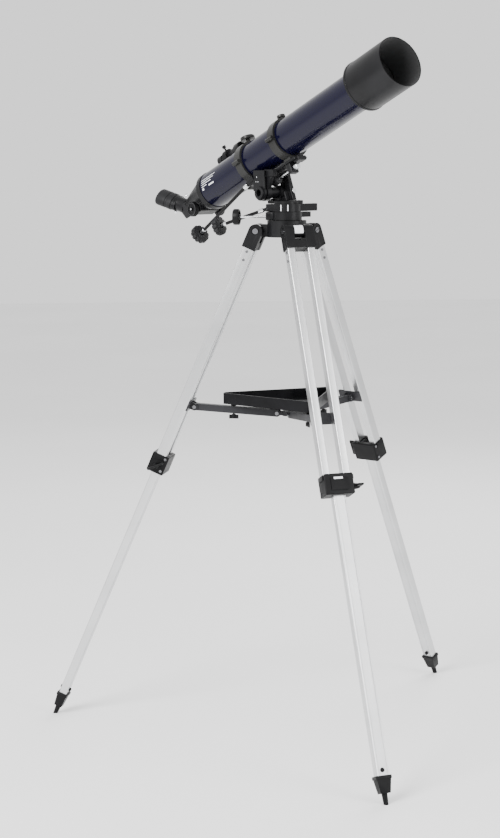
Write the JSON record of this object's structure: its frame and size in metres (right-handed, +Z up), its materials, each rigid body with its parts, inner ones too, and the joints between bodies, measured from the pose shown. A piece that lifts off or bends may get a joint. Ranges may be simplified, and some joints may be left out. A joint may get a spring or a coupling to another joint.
{
  "type": "telescope on tripod",
  "caption": "Refracting telescope on an alt-azimuth head with slow-motion controls, on a three-legged telescoping tripod with an accessory tray.",
  "frame": {"origin": "on the floor, under the centre of the object's bounding box", "axes": "+Z up; +X to the right and +Y away as seen from the front, the telescope pointing towards +X and -Y"},
  "size_m": [1.0288, 1.0732, 1.6918],
  "materials": {
    "leg_aluminium": "satin anodised aluminium extrusion, fine lengthwise grain",
    "black_plastic": "moulded satin black plastic",
    "black_casting": "die-cast aluminium in satin black paint",
    "spreader_steel": "pressed sheet steel in dark grey paint",
    "bright_steel": "bright zinc or chrome plated steel",
    "ring_casting": "cast aluminium in satin dark grey paint, felt lined",
    "tube_paint": "gloss dark navy paint on aluminium tube",
    "shield_paint": "satin black paint or anodising on turned aluminium",
    "lens_glass": "coated optical glass"
  },
  "bodies": {
    "tripod": {"tripod_hub": "black_casting", "front_leg_fitting": "black_plastic", "left_leg_fitting": "black_plastic", "right_leg_fitting": "black_plastic", "front_upper_leg": "leg_aluminium", "left_upper_leg": "leg_aluminium", "right_upper_leg": "leg_aluminium", "front_leg_lock": "black_plastic", "left_leg_lock": "black_plastic", "right_leg_lock": "black_plastic", "front_spreader_arm": "spreader_steel", "left_spreader_arm": "spreader_steel", "right_spreader_arm": "spreader_steel", "leg_hinge_bolts": "bright_steel", "leg_rivets": "bright_steel", "spreader_brackets": "spreader_steel", "spreader_pins": "bright_steel", "spreader_hub": "spreader_steel", "accessory_tray": "black_plastic", "tray_wing_screws": "bright_steel"},
    "front_leg_section": {"front_lower_leg": "leg_aluminium", "front_foot": "black_plastic"},
    "front_lock": {"front_lock_screw": "black_plastic"},
    "left_leg_section": {"left_lower_leg": "leg_aluminium", "left_foot": "black_plastic"},
    "left_lock": {"left_lock_screw": "black_plastic"},
    "right_leg_section": {"right_lower_leg": "leg_aluminium", "right_foot": "black_plastic"},
    "right_lock": {"right_lock_screw": "black_plastic"},
    "azimuth_clamp": {"azimuth_clamp": "black_casting"},
    "azimuth_handle": {"azimuth_lock_handle": "black_plastic"},
    "turntable": {"azimuth_turntable": "black_casting", "altitude_yoke": "black_casting", "yoke_bolt": "bright_steel"},
    "azimuth_control": {"azimuth_control": "black_plastic"},
    "altitude_arm": {"altitude_arm": "black_casting"},
    "telescope": {"altitude_cradle": "black_casting", "altitude_barrel": "black_casting", "mounting_bar": "black_casting", "main_tube": "tube_paint", "lens_cell": "black_casting", "objective_lens": "lens_glass", "focuser_body": "black_casting", "front_ring_base": "ring_casting", "back_ring_base": "ring_casting", "finder": "shield_paint", "finder_bracket": "shield_paint"},
    "altitude_control": {"altitude_control": "black_plastic"},
    "drag_screw": {"altitude_drag_screw": "black_plastic"},
    "drawtube": {"drawtube": "shield_paint"},
    "focus_control": {"focus_shaft": "bright_steel", "focus_knobs": "black_plastic"},
    "diagonal": {"star_diagonal": "shield_paint", "barlow_tube": "shield_paint"},
    "eyepiece": {"eyepiece": "shield_paint"},
    "front_ring_top": {"front_ring_top": "ring_casting"},
    "back_ring_top": {"back_ring_top": "ring_casting"},
    "front_ring_knob": {"front_ring_knob": "black_plastic"},
    "back_ring_knob": {"back_ring_knob": "black_plastic"},
    "dew_shield": {"dew_shield": "shield_paint"}
  },
  "joints": [
    {"name": "front_leg_extend", "type": "slide", "parent": "tripod", "child": "front_leg_section", "axis": [0.1362, -0.3799, -0.915], "range_m": [-0.5, 0.02]},
    {"name": "front_lock_turn", "type": "hinge", "parent": "tripod", "child": "front_lock", "pos_m": [0.25203, -0.24086, 0.66518], "axis": [0.9414, 0.3374, 0], "range_deg": [0, 180]},
    {"name": "left_leg_extend", "type": "slide", "parent": "tripod", "child": "left_leg_section", "axis": [-0.3971, 0.072, -0.915], "range_m": [-0.5, 0.02]},
    {"name": "left_lock_turn", "type": "hinge", "parent": "tripod", "child": "left_lock", "pos_m": [-0.22677, 0.07409, 0.66518], "axis": [-0.1785, -0.9839, 0], "range_deg": [0, 180]},
    {"name": "right_leg_extend", "type": "slide", "parent": "tripod", "child": "right_leg_section", "axis": [0.2609, 0.3079, -0.915], "range_m": [-0.5, 0.02]},
    {"name": "right_lock_turn", "type": "hinge", "parent": "tripod", "child": "right_lock", "pos_m": [0.28539, 0.33127, 0.66518], "axis": [-0.7629, 0.6465, 0], "range_deg": [0, 180]},
    {"name": "azimuth_turn", "type": "hinge", "parent": "tripod", "child": "azimuth_clamp", "pos_m": [0.10355, 0.05483, 1.273], "axis": [0, 0, 1], "continuous": true},
    {"name": "azimuth_handle_turn", "type": "hinge", "parent": "azimuth_clamp", "child": "azimuth_handle", "pos_m": [0.04419, 0.0636, 1.281], "axis": [-0.9892, 0.1463, 0], "range_deg": [0, 180]},
    {"name": "azimuth_fine", "type": "hinge", "parent": "azimuth_clamp", "child": "turntable", "pos_m": [0.10355, 0.05483, 1.2935], "axis": [0, 0, 1], "range_deg": [-4, 4]},
    {"name": "azimuth_control_turn", "type": "hinge", "parent": "turntable", "child": "azimuth_control", "pos_m": [0.03103, 0.0808, 1.29137], "axis": [-0.8149, 0.5015, -0.2907], "range_deg": [-240, 240]},
    {"name": "altitude_turn", "type": "hinge", "parent": "turntable", "child": "altitude_arm", "pos_m": [0.07264, 0.0922, 1.339], "axis": [-0.7706, -0.6373, 0], "range_deg": [-35, 36]},
    {"name": "altitude_fine", "type": "hinge", "parent": "altitude_arm", "child": "telescope", "pos_m": [0.07264, 0.0922, 1.339], "axis": [-0.7706, -0.6373, 0], "range_deg": [-6, 6]},
    {"name": "altitude_control_turn", "type": "hinge", "parent": "telescope", "child": "altitude_control", "pos_m": [-0.00297, 0.124, 1.34776], "axis": [-0.5377, 0.6502, -0.5369], "range_deg": [-360, 360]},
    {"name": "drag_screw_turn", "type": "hinge", "parent": "telescope", "child": "drag_screw", "pos_m": [0.08318, 0.07161, 1.3725], "axis": [-0.5876, 0.7106, -0.387], "range_deg": [-90, 180]},
    {"name": "focus_travel", "type": "slide", "parent": "telescope", "child": "drawtube", "axis": [-0.5876, 0.7106, -0.387], "range_m": [0, 0.06]},
    {"name": "focus_turn", "type": "hinge", "parent": "telescope", "child": "focus_control", "pos_m": [-0.10387, 0.30565, 1.29556], "axis": [-0.7706, -0.6373, 0], "range_deg": [-5, 600]},
    {"name": "diagonal_turn", "type": "hinge", "parent": "drawtube", "child": "diagonal", "pos_m": [-0.15148, 0.36322, 1.29783], "axis": [0.5876, -0.7106, 0.387], "continuous": true},
    {"name": "eyepiece_slide", "type": "slide", "parent": "diagonal", "child": "eyepiece", "axis": [-0.8225, 0.4806, 0.3041], "range_m": [0, 0.04]},
    {"name": "front_ring_open", "type": "hinge", "parent": "telescope", "child": "front_ring_top", "pos_m": [0.06256, 0.01495, 1.46774], "axis": [0.5876, -0.7106, 0.387], "range_deg": [0, 100]},
    {"name": "front_ring_knob_turn", "type": "hinge", "parent": "front_ring_top", "child": "front_ring_knob", "pos_m": [0.15359, 0.09475, 1.47603], "axis": [-0.2467, 0.2983, 0.9221], "range_deg": [0, 360]},
    {"name": "back_ring_open", "type": "hinge", "parent": "telescope", "child": "back_ring_top", "pos_m": [-0.02029, 0.11514, 1.41316], "axis": [0.5876, -0.7106, 0.387], "range_deg": [0, 100]},
    {"name": "back_ring_knob_turn", "type": "hinge", "parent": "back_ring_top", "child": "back_ring_knob", "pos_m": [0.07073, 0.19494, 1.42146], "axis": [-0.2467, 0.2983, 0.9221], "range_deg": [0, 360]},
    {"name": "dew_shield_slide", "type": "slide", "parent": "telescope", "child": "dew_shield", "axis": [0.5876, -0.7106, 0.387], "range_m": [0, 0.03]}
  ],
  "couplings": [
    {"joint": "azimuth_control_turn", "follows": "azimuth_fine", "ratio": 60},
    {"joint": "altitude_control_turn", "follows": "altitude_fine", "ratio": 60},
    {"joint": "focus_turn", "follows": "focus_travel", "rad_per_m": 166.67}
  ]
}
